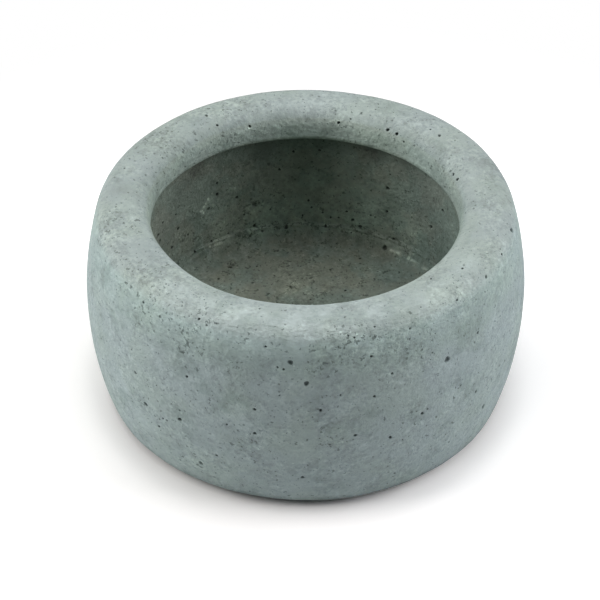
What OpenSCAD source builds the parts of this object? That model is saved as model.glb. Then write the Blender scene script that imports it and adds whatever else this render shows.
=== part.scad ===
// Bowl planter cast in concrete: a round belly, a wide rolled rim, an undercut cavity
// and a drain hole. A rubber stopper closes the hole from inside, and four stick-on
// pads keep the casting off the surface that it stands on.
// Millimetres, +Z up. The origin is on that surface, on the bowl's axis.

/* [Bowl outside] */
// Diameter at the widest point of the belly
outer_d = 200; // [180:1:260]
// Height of the casting, underside to crest of the rim
bowl_h = 99; // [88:1:108]
// Height of the belly's widest point above the underside
belly_h = 48; // [42:1:58]
// Radius of the long curve up the side
side_r = 160; // [130:1:400]
// Radius of the rounded foot, where the side turns under
foot_r = 6; // [3:0.5:14]

/* [Rim and lip] */
// Width of the rim, widest point of the belly to the mouth
rim_w = 31; // [28:0.5:36]
// Distance from the mouth to the crest, the highest ring of the rim
crest_in = 12.5; // [11:0.5:16]
// Radius of the slight crown across the top of the rim
crown_r = 100; // [60:1:400]
// Radius of the shoulder between the side and the rim
shoulder_r = 9; // [4:0.5:16]
// Radius of the roll from the rim down into the mouth
lip_r = 10; // [5:0.5:11]
// Depth of the lip, crest to the crease under its inner face
lip_h = 15; // [12:0.5:20]

/* [Cavity] */
// Thickness of the wall at the belly
wall_t = 23.5; // [19:0.5:26]
// Radius of the long curve down the cavity's wall
wall_curve_r = 200; // [150:1:400]
// Radius of the hollow under the lip
cove_r = 6; // [5:0.5:10]
// Thickness of the floor
floor_t = 20; // [14:0.5:28]
// Radius of the fillet between floor and wall
floor_r = 6; // [3:0.5:7]
// Height of the core's seam above the floor
seam_h = 8; // [7:0.5:14]
// Width of the step that the seam leaves
seam_w = 0.8; // [0.4:0.1:2]

/* [Drain hole and stopper] */
// Bore of the drain hole
drain_d = 14; // [8:0.5:24]
// Chamfer at both ends of the drain hole
drain_chamfer = 0.8; // [0.3:0.1:1.5]
// Clearance all round between the stopper's stem and the hole
stem_clear = 0.3; // [0.2:0.05:0.5]
// Height that the stem's tip stays above the bowl's underside
tip_gap = 4; // [1:0.5:6]
// Length of the tapered tip
tip_l = 4; // [2:0.5:5]
// Amount that the tip narrows all round
tip_taper = 1; // [0.4:0.1:1.6]
// Depth of the grooves between the sealing rings
groove = 0.8; // [0.3:0.1:1.2]
// Width that the flange laps onto the floor around the hole
flange_lap = 5; // [3:0.5:9]
// Thickness of the flange at its edge
flange_t = 1.6; // [1.2:0.1:3]
// Height of the flange's dome above its edge
flange_dome = 1; // [0.5:0.1:2]
// Radius of the flange's rounded edge
flange_edge = 0.5; // [0.3:0.1:0.7]
// Diameter of the grip
grip_d = 10; // [8:0.5:11]
// Diameter of the grip's waist
waist_d = 6.5; // [5:0.5:7.5]
// Flare at the foot of the waist
waist_flare = 1.2; // [0.4:0.1:2]
// Height of the grip above the flange
grip_h = 7; // [5.5:0.5:9]

/* [Pads] */
// Diameter of a pad
pad_d = 16; // [8:1:20]
// Thickness of a pad, which is the gap under the bowl
pad_t = 1.5; // [1:0.1:4]
// Width of flat underside left outside the pads
pad_edge = 14; // [4:1:24]
// Chamfer around a pad's lower edge
pad_chamfer = 0.4; // [0.2:0.1:0.8]

/* [Hidden] */

$fn = 96;
// Most that a drawn curve may stray from the true one
chord_error = 0.02;
pad_count = 4;
ring_count = 3;
// Shares of a sealing ring's height that slope out and that touch the hole's wall
ring_rise = 0.45;
ring_land = 0.2;

// Heights above the surface that the bowl stands on
base_z = pad_t;
floor_z = base_z + floor_t;
crest_z = base_z + bowl_h;
crease_z = crest_z - lip_h;
belly_z = base_z + belly_h;
seam_z = floor_z + seam_h;

// Radii from the bowl's axis
outer_r = outer_d / 2;
mouth_r = outer_r - rim_w;
cavity_r = outer_r - wall_t;
crest_r = mouth_r + crest_in;
drain_r = drain_d / 2;

// The outline is drawn in points [radius, height]. Its long curves are circles about
// these centres, and each round corner is a smaller circle inside them that touches both.
side_c = [outer_r - side_r, belly_z];
crown_c = [crest_r, crest_z - crown_r];
wall_c = [cavity_r - wall_curve_r, belly_z];
crease = [mouth_r, crease_z];
lower_wall_r = wall_curve_r - seam_w;

foot_c = corner_on_flat(side_c, side_r, foot_r, base_z + foot_r);
shoulder_c = meet(side_c, side_r - shoulder_r, crown_c, crown_r - shoulder_r, 1);
lip_c = roll_centre(crown_c, crown_r - lip_r, mouth_r + lip_r);
cove_c = meet(wall_c, wall_curve_r - cove_r, crease, cove_r, -1);
fillet_c = corner_on_flat(wall_c, lower_wall_r, floor_r, floor_z + floor_r);

flange_r = drain_r + flange_lap;
stem_r = drain_r - stem_clear;
stem_l = floor_t - tip_gap;
pad_ring_r = foot_c.x - pad_edge - pad_d / 2;

// Direction from one point to another, in degrees from the radius axis
function aim(from, to) = atan2(to.y - from.y, to.x - from.x);

// Centre of a corner of radius r at height z that touches the circle c, big_r from inside
function corner_on_flat(c, big_r, r, z) = [c.x + sqrt((big_r - r) ^ 2 - (z - c.y) ^ 2), z];

// Point at radius x on the upper half of the circle c, r
function roll_centre(c, r, x) = [x, c.y + sqrt(r ^ 2 - (x - c.x) ^ 2)];

// Where the circles a, ra and b, rb cross: the crossing above the line of centres for
// side 1, and below it for side -1
function meet(a, ra, b, rb, side) =
    let (d = norm(b - a),
         along = (d ^ 2 + ra ^ 2 - rb ^ 2) / (2 * d),
         off = sqrt(ra ^ 2 - along ^ 2),
         u = (b - a) / d,
         p = a + along * u,
         n = [-u.y, u.x] * (u.x > 0 ? 1 : -1))
    p + side * off * n;

// Points along an arc from one angle to another
function arc(c, r, from, to) =
    let (step = 2 * acos(1 - chord_error / r),
         n = max(2, ceil(abs(to - from) / step)))
    [for (i = [0 : n]) let (a = from + (to - from) * i / n) c + r * [cos(a), sin(a)]];

// Up the outside of the bowl, from its underside to the crest
function outside() = concat(
    arc(foot_c, foot_r, -90, aim(side_c, foot_c)),
    arc(side_c, side_r, aim(side_c, foot_c), aim(side_c, shoulder_c)),
    arc(shoulder_c, shoulder_r, aim(side_c, shoulder_c), aim(crown_c, shoulder_c)),
    arc(crown_c, crown_r, aim(crown_c, shoulder_c), aim(crown_c, lip_c)));

// Down the inside, from the lip's roll past the crease and the seam to the floor
function inside() = concat(
    arc(lip_c, lip_r, aim(crown_c, lip_c), 180),
    arc(cove_c, cove_r, aim(cove_c, crease), aim(wall_c, cove_c)),
    arc(wall_c, wall_curve_r, aim(wall_c, cove_c), asin((seam_z - belly_z) / wall_curve_r)),
    arc(wall_c, lower_wall_r, asin((seam_z - belly_z) / lower_wall_r), aim(wall_c, fillet_c)),
    arc(fillet_c, floor_r, aim(wall_c, fillet_c), -90));

// Drops each point that repeats the one before it
function tidy(points) =
    [for (i = [0 : len(points) - 1])
        if (i == 0 || norm(points[i] - points[i - 1]) > 0.001) points[i]];

module bowl() {
    color([0.60, 0.66, 0.63])
        rotate_extrude()
            polygon(tidy(concat(
                [[drain_r, base_z + drain_chamfer],
                 [drain_r + drain_chamfer, base_z]],
                outside(),
                inside(),
                [[drain_r + drain_chamfer, floor_z],
                 [drain_r, floor_z - drain_chamfer]])));
}

// Half outline of the stem from its tip up to the flange: a taper, then the rings
function stem() =
    let (tip_z = floor_z - stem_l,
         ring_h = (stem_l - tip_l) / ring_count)
    concat(
        [[0, tip_z], [stem_r - groove - tip_taper, tip_z]],
        [for (i = [0 : ring_count - 1], corner = [0 : 2])
            let (z = tip_z + tip_l + i * ring_h)
            corner == 0 ? [stem_r - groove, z]
            : corner == 1 ? [stem_r, z + ring_h * ring_rise]
            : [stem_r, z + ring_h * (ring_rise + ring_land)]],
        [[stem_r - groove, floor_z]]);

// Half outline above the floor: the domed flange, and the grip with its waist
function cap() =
    let (edge_z = floor_z + flange_t,
         neck_z = edge_z + flange_dome,
         bead_r = (grip_d - waist_d) / 2,
         bead_c = [waist_d / 2, neck_z + grip_h - bead_r])
    concat(
        [[flange_r - flange_edge, floor_z]],
        [for (a = [-60 : 30 : 90])
            let (z = a < 0 ? floor_z + flange_edge : edge_z - flange_edge)
            [flange_r - flange_edge, z] + flange_edge * [cos(a), sin(a)]],
        [[waist_d / 2 + waist_flare, neck_z], [waist_d / 2, neck_z + waist_flare]],
        arc(bead_c, bead_r, -90, 90),
        [[0, neck_z + grip_h]]);

module drain_plug() {
    color([0.16, 0.17, 0.17])
        rotate_extrude()
            polygon(concat(stem(), cap()));
}

module foot_pad(number) {
    color([0.20, 0.21, 0.21])
        rotate([0, 0, 45 + (number - 1) * 360 / pad_count])
            translate([pad_ring_r, 0, 0])
                rotate_extrude()
                    polygon([
                        [0, 0],
                        [pad_d / 2 - pad_chamfer, 0],
                        [pad_d / 2, pad_chamfer],
                        [pad_d / 2, pad_t],
                        [0, pad_t]]);
}

bowl();
drain_plug();
for (i = [1 : pad_count])
    foot_pad(i);
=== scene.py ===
# %% [markdown]
# # A bowl planter in cast concrete
#
# A thick bowl, about 200 mm across, cast between a mould and a core. Nothing on it is
# painted, so its looks come from its form, from the holes that trapped air left and from
# the colour of the concrete. The script builds the bowl, a rubber stopper for its drain
# hole and four rubber pads, then the floor, the light and the photographer's camera.
#
# The CAD model comes first, as a fixed frame: each piece made here takes the place of
# one of its nodes, at the same size and in the same place.

# %% Load the CAD model
import math
import random

import bmesh
import bpy
from mathutils import Matrix, Vector, geometry, noise
from mathutils.bvhtree import BVHTree
from mathutils.kdtree import KDTree


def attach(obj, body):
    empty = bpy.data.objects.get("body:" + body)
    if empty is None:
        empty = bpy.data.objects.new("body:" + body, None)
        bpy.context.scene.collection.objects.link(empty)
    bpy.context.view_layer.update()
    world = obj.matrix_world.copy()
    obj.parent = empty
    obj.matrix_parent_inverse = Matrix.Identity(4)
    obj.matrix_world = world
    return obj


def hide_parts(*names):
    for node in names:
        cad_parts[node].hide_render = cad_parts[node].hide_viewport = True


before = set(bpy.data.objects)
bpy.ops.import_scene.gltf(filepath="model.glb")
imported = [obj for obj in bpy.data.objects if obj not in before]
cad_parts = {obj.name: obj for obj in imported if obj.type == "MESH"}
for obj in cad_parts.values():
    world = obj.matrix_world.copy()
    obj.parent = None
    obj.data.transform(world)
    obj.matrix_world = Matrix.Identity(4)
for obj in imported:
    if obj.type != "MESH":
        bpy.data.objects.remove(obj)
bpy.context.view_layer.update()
print("nodes", sorted(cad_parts))

# %% [markdown]
# ## The sizes
#
# The CAD model's sizes, in metres because Blender works in metres. Everything below is
# drawn from them, so the visible pieces and the solids agree.

# %% Sizes of the bowl
mm = 0.001

outer_r = 100 * mm        # widest point of the belly
bowl_h = 99 * mm
belly_h = 48 * mm         # height of the widest point
side_r = 160 * mm         # long curve up the side
foot_r = 6 * mm
rim_w = 31 * mm
crest_in = 12.5 * mm      # mouth to the highest ring of the rim
crown_r = 100 * mm
shoulder_r = 9 * mm
lip_r = 10 * mm
lip_h = 15 * mm
wall_t = 23.5 * mm
wall_curve_r = 200 * mm
cove_r = 6 * mm           # hollow under the lip
floor_t = 20 * mm
floor_r = 6 * mm
seam_h = 8 * mm
seam_w = 0.8 * mm
drain_r = 7 * mm
drain_chamfer = 0.8 * mm
pad_t = 1.5 * mm
pad_d = 16 * mm
pad_edge = 14 * mm

base_z = pad_t
floor_z = base_z + floor_t
crest_z = base_z + bowl_h
crease_z = crest_z - lip_h
belly_z = base_z + belly_h
seam_z = floor_z + seam_h
mouth_r = outer_r - rim_w
cavity_r = outer_r - wall_t
crest_r = mouth_r + crest_in
print("mouth %.0f mm across, floor %.1f mm up" % (2 * mouth_r / mm, floor_z / mm))

# %% [markdown]
# ## Where the arcs have their centres
#
# The bowl's outline is a chain of arcs. A round corner that touches two long curves has
# its centre where two slightly smaller circles cross, and Blender's geometry library
# finds that crossing. Points of the outline are written as (radius, height).

# %% Centres of the arcs


def crossing(centre_a, radius_a, centre_b, radius_b, choose):
    """The higher or the lower point where two circles cross."""
    points = geometry.intersect_sphere_sphere_2d(centre_a, radius_a, centre_b, radius_b)
    return choose(points, key=lambda point: point.y)


def corner_on_flat(centre, radius, corner_r, height):
    """Centre of a corner between a long curve and a level surface."""
    reach = math.sqrt((radius - corner_r) ** 2 - (height - centre.y) ** 2)
    return Vector((centre.x + reach, height))


side_c = Vector((outer_r - side_r, belly_z))
crown_c = Vector((crest_r, crest_z - crown_r))
wall_c = Vector((cavity_r - wall_curve_r, belly_z))
crease = Vector((mouth_r, crease_z))
lower_wall_r = wall_curve_r - seam_w

foot_c = corner_on_flat(side_c, side_r, foot_r, base_z + foot_r)
shoulder_c = crossing(side_c, side_r - shoulder_r, crown_c, crown_r - shoulder_r, max)
lip_rise = math.sqrt((crown_r - lip_r) ** 2 - (mouth_r + lip_r - crown_c.x) ** 2)
lip_c = Vector((mouth_r + lip_r, crown_c.y + lip_rise))
cove_c = crossing(wall_c, wall_curve_r - cove_r, crease, cove_r, min)
fillet_c = corner_on_flat(wall_c, lower_wall_r, floor_r, floor_z + floor_r)
print("shoulder turns about %.1f, %.1f mm" % (shoulder_c.x / mm, shoulder_c.y / mm))

# %% [markdown]
# ## Drawing with a travelling point
#
# One vertex is the pen: extruding it leaves a straight line behind, and the spin
# operator swings it round a centre and leaves an arc. Both leave short steps, because
# the surface needs vertices enough to carry its unevenness. One more spin turns the
# finished outline about the axis and closes the body.

# %% A pen for outlines
same_spot = 0.001 * mm    # vertices nearer than this are merged


class Pen:
    """One vertex that draws an outline, in steps about as long as it is told."""

    def __init__(self, radius, height, step):
        self.bm, self.step = bmesh.new(), step
        made = bmesh.ops.create_vert(self.bm, co=(radius, 0, height))
        self.vert = made["vert"][0]

    def line(self, radius, height, step=None):
        """Extrudes the pen to a new point."""
        start, end = self.vert.co.copy(), Vector((radius, 0, height))
        count = max(1, round((end - start).length / (step or self.step)))
        for i in range(count):
            made = bmesh.ops.extrude_vert_indiv(self.bm, verts=[self.vert])
            self.vert = made["verts"][0]
            self.vert.co = start.lerp(end, (i + 1) / count)

    def arc(self, centre, end_angle, step=None):
        """Swings the pen about a centre until it lies at that angle from it."""
        arm = Vector((self.vert.co.x - centre.x, self.vert.co.z - centre.y))
        turn = end_angle - math.atan2(arm.y, arm.x)
        turn = (turn + math.pi) % math.tau - math.pi
        count = max(2, round(abs(turn) * arm.length / (step or self.step)))
        swung = bmesh.ops.spin(
            self.bm, geom=[self.vert], cent=(centre.x, 0, centre.y), axis=(0, -1, 0),
            angle=turn, steps=count, use_merge=False, use_duplicate=False)
        self.vert = next(g for g in swung["geom_last"] if isinstance(g, bmesh.types.BMVert))

    def turn_on_axis(self, sectors):
        """Spins the outline into a closed round body, faces outward."""
        bmesh.ops.spin(
            self.bm, geom=self.bm.verts[:] + self.bm.edges[:], cent=(0, 0, 0),
            axis=(0, 0, 1), angle=math.tau, steps=sectors, use_merge=True,
            use_duplicate=False)
        bmesh.ops.remove_doubles(self.bm, verts=self.bm.verts, dist=same_spot)
        bmesh.ops.recalc_face_normals(self.bm, faces=self.bm.faces)
        return self.bm


def aim(start, end):
    """Angle from one outline point to another, from the radius axis up."""
    return math.atan2(end.y - start.y, end.x - start.x)


print("a pen with lines, arcs and a turn about the axis")

# %% [markdown]
# ## The bowl
#
# The outline starts in the drain hole, runs out under the bowl, up the side, over the
# rim, down the cavity and back across the floor. Steps are short where light catches
# the shape and long where nobody looks. Because the outline is a closed loop, the spin
# makes a closed solid with a real hole through it.

# %% Draw and spin the bowl
under_step = 5 * mm
side_step = 2.2 * mm
rim_step = 1.5 * mm
fine_step = 0.7 * mm
sectors = 240
crease_round = 0.5 * mm
seam_slope = 0.3 * mm     # height in which the seam steps back
drain_top_r = drain_r + drain_chamfer

pen = Pen(drain_r, base_z + drain_chamfer, fine_step)
pen.line(drain_top_r, base_z)
pen.line(foot_c.x, base_z, under_step)
pen.arc(foot_c, aim(side_c, foot_c))
pen.arc(side_c, aim(side_c, shoulder_c), side_step)
pen.arc(shoulder_c, aim(crown_c, shoulder_c), rim_step)
pen.arc(crown_c, aim(crown_c, lip_c), rim_step)
pen.arc(lip_c, math.pi, rim_step)
pen.line(mouth_r, crease_z + crease_round, rim_step)
pen.line(mouth_r + crease_round, crease_z - 0.1 * crease_round)
pen.arc(cove_c, aim(wall_c, cove_c))
pen.arc(wall_c, math.asin((seam_z - belly_z) / wall_curve_r), side_step)
pen.line(pen.vert.co.x - seam_w, seam_z - seam_slope)
pen.arc(wall_c, aim(wall_c, fillet_c))
pen.arc(fillet_c, -math.pi / 2)
pen.line(drain_top_r, floor_z, side_step)
pen.line(drain_r, floor_z - drain_chamfer)
pen.line(drain_r, base_z + drain_chamfer, side_step)
bmesh.ops.remove_doubles(pen.bm, verts=pen.bm.verts, dist=same_spot)
outline_points = len(pen.bm.verts)
bm = pen.turn_on_axis(sectors)
print("outline of %d points, bowl of %d faces" % (outline_points, len(bm.faces)))

# %% [markdown]
# ## Out of round
#
# Nothing shaped by hand is a true circle. In the photograph the mouth is about 1 mm
# narrower in two places, and the shoulder stands out at the back right. Each of these is
# a bump with a direction, a reach and a height that fades out softly.

# %% Push the rim out of round
mouth_bumps = [
    # azimuth and reach in degrees, push inward in metres
    (-142, 22, 1.20 * mm), (-30, 22, 0.50 * mm), (22, 20, 1.05 * mm), (165, 12, -0.55 * mm),
]
shoulder_bumps = [(45, 24, -1.05 * mm)]
mouth_fade = 8 * mm       # from the crest in to where the mouth's bumps are whole
under_lip_fade = 5 * mm   # how far down the cavity they reach
shoulder_fade = 10 * mm   # from the crest out to where the shoulder's bumps are whole
shoulder_rise = 30 * mm   # from the belly up to there


def limit(value, low=0, high=1):
    """The value, kept between two others."""
    return min(high, max(low, value))


def soft_step(value):
    """0 below 0, 1 above 1, and a soft slope between."""
    value = limit(value)
    return value * value * (3 - 2 * value)


def fade(off, reach):
    """1 in the middle, and softly down toward 0 beyond the reach."""
    return math.exp(-(off / reach) ** 2)


def azimuth_of(place):
    """Direction from the axis in degrees: 0 is right, 90 is the back."""
    return math.degrees(math.atan2(place.y, place.x))


def push_at(bumps, azimuth):
    """How far these bumps push inward in that direction."""
    return sum(push * fade((azimuth - middle + 180) % 360 - 180, reach)
               for middle, reach, push in bumps)


for vert in bm.verts:
    radius = vert.co.xy.length
    if radius < crest_r:
        below = max(0, crease_z - vert.co.z)
        share = soft_step((crest_r - radius) / mouth_fade) * fade(below, under_lip_fade)
        push = push_at(mouth_bumps, azimuth_of(vert.co)) * share
    else:
        share = soft_step((radius - crest_r) / shoulder_fade)
        share *= soft_step((vert.co.z - belly_z) / shoulder_rise)
        push = push_at(shoulder_bumps, azimuth_of(vert.co)) * share
    vert.co.x *= 1 - push / radius
    vert.co.y *= 1 - push / radius
print("pushed the mouth by up to %.1f mm" % (max(b[2] for b in mouth_bumps) / mm))

# %% [markdown]
# ## The camera, at the photographer's place
#
# It looks down at about 39 degrees through a long lens, which keeps the bowl's two sides
# nearly parallel. It is made this early because the air holes are found with it: a ray
# goes from the camera through each hole's place in the picture to the surface.

# %% Camera
picture_px = 600
lens_mm, sensor_mm = 120.0, 36.0
look_down = math.radians(38.83)
camera_distance = 0.9241
look_at = Vector((-0.00251, 0.0, 0.04186))

back_off = Vector((0, -math.cos(look_down), math.sin(look_down)))
camera_at = look_at + camera_distance * back_off


def add_object(name, data):
    """A new object in the scene, with that camera, lamp or mesh."""
    made = bpy.data.objects.new(name, data)
    bpy.context.collection.objects.link(made)
    return made


camera_data = bpy.data.cameras.new("photo_camera")
camera_data.lens = lens_mm
camera_data.sensor_width = sensor_mm
camera = add_object("photo_camera", camera_data)
camera.rotation_euler = (math.pi / 2 - look_down, 0, 0)
camera.location = camera_at
bpy.context.scene.camera = camera


def ray_through(x, y):
    """Direction from the camera through a place in the picture."""
    half = picture_px / 2
    across = (x - half) / picture_px * sensor_mm / lens_mm
    up = (half - y) / picture_px * sensor_mm / lens_mm
    direction = Vector((across, up, -1))
    direction.rotate(camera.rotation_euler)
    return direction.normalized()


def real_size(pixels, distance):
    """Size in metres of something that covers so many pixels at that distance."""
    return pixels / picture_px * sensor_mm / lens_mm * distance


print("one pixel is %.2f mm on the bowl" % (real_size(1, camera_distance) / mm))

# %% [markdown]
# ## Air holes
#
# Bubbles cling to the mould while the concrete sets, and each leaves a round hole. Those
# that the photograph shows are listed by their place and width in its pixels. A chip is
# a shallow scrape instead, and it shows fresh, pale cement.

# %% Air holes that the photograph shows
side_holes = [
    (290, 362, 5.0), (306, 383, 4.8), (447, 359, 5.2), (145, 404, 3.6), (179, 419, 3.2),
    (200, 463, 3.8), (302, 477, 3.0), (254, 409, 2.6), (254, 433, 2.8), (320, 410, 2.8),
    (198, 318, 2.6), (142, 302, 2.2), (186, 376, 2.4), (134, 372, 2.2), (422, 413, 3.0),
    (390, 437, 3.0), (374, 396, 2.6), (355, 435, 2.8), (371, 356, 2.4), (392, 373, 2.2),
    (478, 332, 2.4), (476, 391, 2.0), (483, 406, 3.2), (486, 276, 2.8), (462, 267, 2.2),
    (512, 229, 4.0), (277, 367, 1.9), (283, 369, 2.1), (265, 346, 2.1), (502, 253, 2.0),
    (457, 299, 2.1), (162, 418, 1.8), (166, 420, 1.8), (158, 426, 2.0), (216, 455, 2.0),
    (226, 424, 1.8), (340, 395, 1.8), (410, 328, 2.0), (354, 337, 2.2), (348, 335, 1.8),
]
rim_holes = [
    (338, 122, 2.9), (387, 129, 3.1), (396, 133, 3.0), (439, 134, 2.8), (206, 114, 2.6),
    (217, 124, 2.2), (249.5, 125.6, 2.6), (452, 173, 2.4), (456, 178, 2.8), (403, 141, 1.8),
    (350, 118, 1.7), (430, 128, 1.7),
]
cavity_holes = [
    (217, 183, 2.6), (217, 194, 2.8), (236.5, 197, 2.8), (254, 204, 4.6), (254, 225, 3.0),
    (387, 188, 3.4), (386, 211, 2.6), (442.5, 211, 4.0), (430, 226, 3.4), (352, 219.5, 3.2),
    (359.5, 226, 3.4), (338, 217, 2.2), (158, 235.5, 3.8), (160, 241, 3.2), (384, 247, 4.8),
    (230, 265.5, 3.0), (359.5, 257, 2.2), (286, 224.5, 3.4), (279, 169, 2.6), (319, 150, 2.4),
    (293, 151, 2.4), (325, 224, 2.4), (346, 211, 2.2), (330, 217, 2.0), (322, 212, 2.0),
    (392.5, 238.5, 3.0), (178, 228, 2.4), (188, 234, 2.0), (212, 241, 2.2), (218, 277, 2.4),
    (308, 200, 2.4), (311, 207, 2.2), (302, 215, 2.0), (270, 209, 2.0), (244, 214, 2.0),
    (262, 231, 2.4), (228, 233, 2.0), (196, 252, 2.2), (330, 268, 2.2), (290, 285, 2.2),
    (345, 289, 2.2), (268, 292, 2.0), (252, 281, 2.2), (310, 298, 2.0), (172, 247, 2.6),
    (176, 214, 2.0), (163, 222, 2.2), (208.5, 208.5, 3.0),
]
chips = [
    (337, 334, 2.4), (341, 331.5, 3.0), (346, 334, 3.2), (351, 331.5, 2.6), (357, 333.5, 3.0),
    (362, 336, 2.4), (370.5, 356, 3.0), (390, 374, 2.6), (294, 366.5, 2.4), (258, 449.5, 2.8),
    (293, 464, 2.4), (343, 443, 2.2), (247, 435, 2.0), (176, 466, 2.6), (121, 285, 2.4),
    (203, 211, 4.4), (207, 204, 3.8), (209, 199.5, 3.4), (213, 194, 2.4), (211, 247, 2.8),
    (391, 250, 2.4), (408, 258, 4.4), (411, 260, 3.4), (338, 124.8, 2.4), (249.4, 127.9, 2.6),
    (205, 207, 4.0), (201.5, 211.5, 3.0), (204.5, 213, 3.0), (206, 249, 2.6), (216, 245, 2.4),
]

print(len(side_holes), "side,", len(rim_holes), "rim and", len(cavity_holes),
      "cavity holes,", len(chips), "chips")

# %% [markdown]
# ### From the picture onto the bowl
#
# Rays put the holes on the surface, each with a stretch and a ripple of its own. A hole
# seen slantwise looks narrower than it is, and its dark middle is narrower than its rim,
# so the radius grows a little to make up for both.

# %% Put them on the surface
hole_seed = 11
shadow_width = 0.85       # the dark part of a hole, as a share of the whole hole
wide_hole = 4             # pixels from which a hole is half as steep
surface = BVHTree.FromBMesh(bm)
dice = random.Random(hole_seed)


class AirHole:
    """One hole: its place, the way out and its own uneven shape."""

    def __init__(self, place, outward, radius, depth, pale=False):
        self.place, self.outward = place, outward
        self.radius, self.depth, self.pale = radius, depth, pale
        self.stretch = dice.uniform(0.78, 1.0)
        self.turn = dice.uniform(0, math.tau)
        self.ripple = dice.uniform(0, math.tau)
        self.across = outward.orthogonal().normalized()
        self.along = outward.cross(self.across)

    def share(self, point):
        """Distance from the middle; 1 is on the rim."""
        offset = point - self.place
        u, v = offset.dot(self.across), offset.dot(self.along)
        angle = math.atan2(v, u) - self.turn
        rim = self.radius * (1 + 0.10 * math.sin(2 * angle + self.ripple)
                             + 0.07 * math.sin(3 * angle - self.ripple))
        squeeze = math.hypot(math.cos(angle) * self.stretch, math.sin(angle))
        return math.hypot(u, v) / (rim * squeeze)


air_holes = []
for x, y, width in side_holes + rim_holes + cavity_holes:
    # a hole's shadow lies upper left of its middle, so the ray aims lower right
    ray = ray_through(x + 0.5, y + 0.9)
    place, outward, _, distance = surface.ray_cast(camera_at, ray)
    slant = max(0.3, abs(ray.dot(outward)))
    radius = real_size(width, distance) / 2 / shadow_width / slant ** 0.35
    steepness = dice.uniform(1.1, 1.5) * (0.5 if width > wide_hole else 1)
    air_holes.append(AirHole(place, outward, radius, radius * steepness))
for x, y, width in chips:
    place, outward, _, distance = surface.ray_cast(camera_at, ray_through(x, y))
    radius = real_size(width, distance) / 2
    air_holes.append(AirHole(place, outward, radius, 0.3 * radius, pale=True))
print(len(air_holes), "holes and chips placed through the camera")

# %% [markdown]
# ### Where the photograph doesn't look
#
# Random rays place holes where the photograph shows nothing, and small ones between
# those listed. A random number raised to a power keeps most of them near the
# smallest size, and a fixed seed gives the same bowl on every run.

# %% Scatter holes at random
small_holes_win = 2.6
side_heights, cavity_heights = (8 * mm, 90 * mm), (24 * mm, 78 * mm)


def scatter(count, smallest, largest, ray):
    """Adds holes where random rays meet the surface."""
    for _ in range(count):
        place, outward, _, _ = surface.ray_cast(*ray())
        radius = smallest * (largest / smallest) ** (dice.random() ** small_holes_win)
        air_holes.append(AirHole(place, outward, radius, radius * dice.uniform(1.0, 1.5)))


def level(azimuth, length=1.0):
    """A level direction from the axis."""
    return Vector((math.cos(azimuth), math.sin(azimuth), 0)) * length


def at_side(low_azimuth, high_azimuth):
    """A level ray from outside, from that part of the circle."""
    out = level(math.radians(dice.uniform(low_azimuth, high_azimuth)))
    return out * 2 * outer_r + Vector((0, 0, dice.uniform(*side_heights))), -out


def in_cavity(low_azimuth, high_azimuth):
    """A level ray from the axis to the cavity's wall."""
    out = level(math.radians(dice.uniform(low_azimuth, high_azimuth)))
    return Vector((0, 0, dice.uniform(*cavity_heights))), out


def from_above(low_radius, high_radius):
    """A ray straight down onto the rim or the floor."""
    azimuth, radius = dice.uniform(0, math.tau), dice.uniform(low_radius, high_radius)
    return level(azimuth, radius) + Vector((0, 0, 2 * crest_z)), Vector((0, 0, -1))


scatter(78, 0.45 * mm, 1.5 * mm, lambda: at_side(5, 175))                 # the back
scatter(30, 0.32 * mm, 0.5 * mm, lambda: at_side(-175, -5))               # the front
scatter(26, 0.5 * mm, 1.5 * mm, lambda: in_cavity(-165, -15))             # the cavity's front
scatter(26, 0.36 * mm, 0.6 * mm, lambda: in_cavity(5, 175))               # the cavity's back
scatter(24, 0.32 * mm, 0.55 * mm, lambda: from_above(76 * mm, 94 * mm))   # the rim
scatter(26, 0.4 * mm, 1.1 * mm, lambda: from_above(18 * mm, 66 * mm))     # the floor
print(len(air_holes), "holes in all")

# %% [markdown]
# ## Room for the holes in the mesh
#
# The bowl's faces are about 2 mm wide, too wide for a hole of 1 mm, and cutting all of
# them finer would cost millions. So only the faces round each hole are cut in four, three
# times over, each time in a smaller circle. A search tree finds them fast.

# %% Cut the faces finer round each hole


def faces_near(bm, spots):
    """The faces whose middles lie within each spot's reach."""
    bm.faces.ensure_lookup_table()
    tree = KDTree(len(bm.faces))
    for face in bm.faces:
        tree.insert(face.calc_center_median(), face.index)
    tree.balance()
    found = {index for place, reach in spots
             for _, index, _ in tree.find_range(place, reach)}
    return [bm.faces[index] for index in sorted(found)]


def cut_finer(bm, faces):
    """Cuts those faces in four."""
    edges = list(dict.fromkeys(edge for face in faces for edge in face.edges))
    bmesh.ops.subdivide_edges(bm, edges=edges, cuts=1, use_grid_fill=True)
    bm.faces.index_update()


bm.faces.index_update()
for margin in (1.5 * mm, 0.6 * mm, 0.2 * mm):
    near = faces_near(bm, [(h.place, 1.2 * h.radius + margin) for h in air_holes])
    cut_finer(bm, near)
    print("cut %d faces finer, now %d" % (len(near), len(bm.faces)))

# %% [markdown]
# ## Unevenness from the hand
#
# Noise in three sizes pushes the surface into the concrete by a fraction of a
# millimetre, never outward, so the bowl keeps its size. It stays flat where the pads and
# the stopper lie on it.

# %% Sink the surface unevenly
dent_depth = 0.55 * mm
flat_ring_r, flat_fade = 15 * mm, 10 * mm     # round the drain hole
flat_h = 0.5 * mm                             # above the underside
dent_noise = [
    # waves per metre, share of the depth, shift that keeps the sizes apart
    (26, 0.45, Vector()), (75, 0.25, Vector((7, 3, 5))), (230, 0.12, Vector((1, 9, 2))),
]


def rough_share(place):
    """How deep the hand has rubbed here, from 0 to 1."""
    return limit(0.5 + sum(share * noise.noise(place * waves + shift)
                           for waves, share, shift in dent_noise))


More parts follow.
